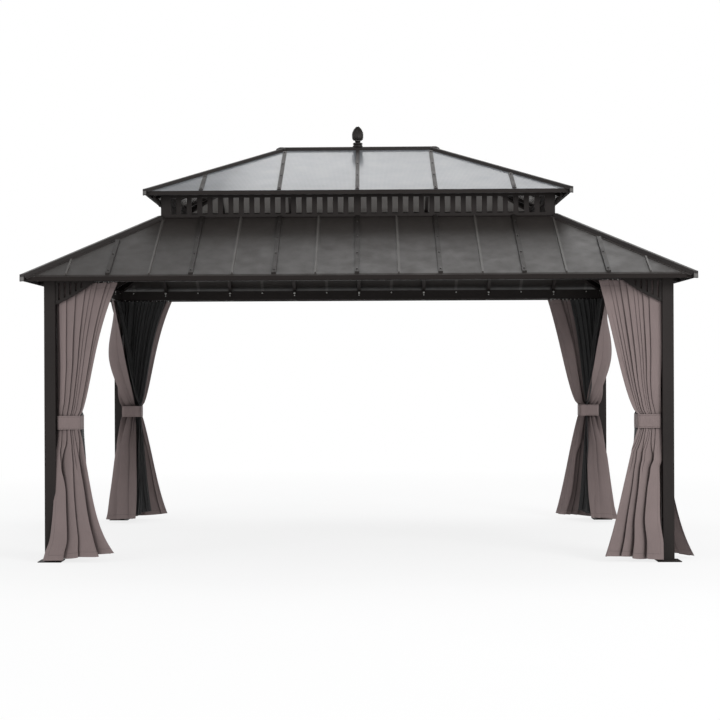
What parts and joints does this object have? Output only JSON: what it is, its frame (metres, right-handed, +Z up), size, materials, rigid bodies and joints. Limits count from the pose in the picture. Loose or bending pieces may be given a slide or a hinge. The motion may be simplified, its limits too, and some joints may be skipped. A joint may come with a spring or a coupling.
{
  "type": "hardtop garden gazebo",
  "caption": "Open rectangular garden gazebo with four metal posts, a double-tier hipped roof, a slatted vent band, skylight panels, a ridge finial and tied-back curtains.",
  "frame": {"origin": "on the ground, under the middle of the roof", "axes": "+X along the long side towards the right, +Y from the front towards the rear, +Z up"},
  "size_m": [4.88, 3.6716, 3.4086],
  "materials": {
    "frame": "satin powder coat",
    "roof_sheet": "satin coated steel sheet",
    "skylight": "twin-wall polycarbonate",
    "curtain": "woven polyester",
    "netting": "fine black mosquito netting"
  },
  "bodies": {
    "root": {"base_plates": "frame", "post_front_left": "frame", "post_front_right": "frame", "post_rear_left": "frame", "post_rear_right": "frame", "beam_front": "frame", "beam_right": "frame", "beam_rear": "frame", "beam_left": "frame", "brackets_front_left": "frame", "brackets_front_right": "frame", "brackets_rear_left": "frame", "brackets_rear_right": "frame", "curtain_tracks": "frame", "lower_rafters": "frame", "lower_hip_rafters": "frame", "lower_roof_front": "roof_sheet", "lower_roof_right": "roof_sheet", "lower_roof_rear": "roof_sheet", "lower_roof_left": "roof_sheet", "joint_strips": "roof_sheet", "fascias": "roof_sheet", "lower_hip_caps": "roof_sheet", "vent_rings": "frame", "vent_posts": "frame", "vent_front": "frame", "vent_right": "frame", "vent_rear": "frame", "vent_left": "frame", "upper_eave_bars": "frame", "upper_rafters": "frame", "upper_braces": "frame", "upper_panel_front": "skylight", "upper_panel_right": "skylight", "upper_panel_rear": "skylight", "upper_panel_left": "skylight", "upper_strips": "frame", "upper_hip_caps": "frame", "ridge": "frame", "finial": "frame", "curtains_front_left": "curtain", "curtains_front_right": "curtain", "curtains_rear_left": "curtain", "curtains_rear_right": "curtain", "netting": "netting", "tie_bands": "curtain"}
  },
  "joints": []
}
